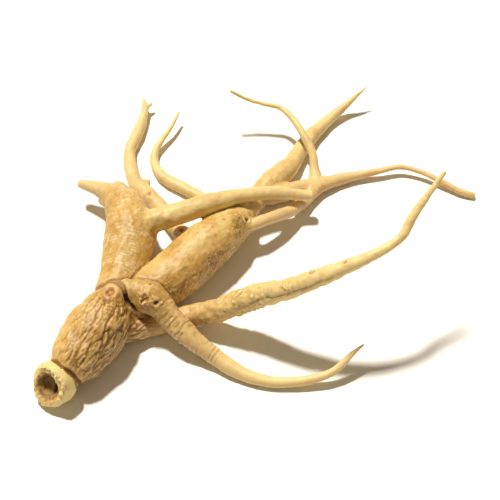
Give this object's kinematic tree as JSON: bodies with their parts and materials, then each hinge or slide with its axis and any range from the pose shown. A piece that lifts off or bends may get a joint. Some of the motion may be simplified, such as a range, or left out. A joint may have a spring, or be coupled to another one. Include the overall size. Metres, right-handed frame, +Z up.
{
  "type": "ginseng root",
  "caption": "Whole forked ginseng root with a cut neck, wrinkled head, thick leg and trunk, and long tapering side roots, lying on its side.",
  "frame": {"origin": "middle of the root's bounding box, on the surface that it lies on", "axes": "+Z up; +X from the neck towards the tips of the long side roots; +Y from the neck towards the tip of the back root"},
  "size_m": [0.2155, 0.1889, 0.0815],
  "materials": {
    "root_skin": "matt pale skin with fine wrinkles"
  },
  "bodies": {
    "root": {"ginseng_root": "root_skin"}
  },
  "joints": []
}
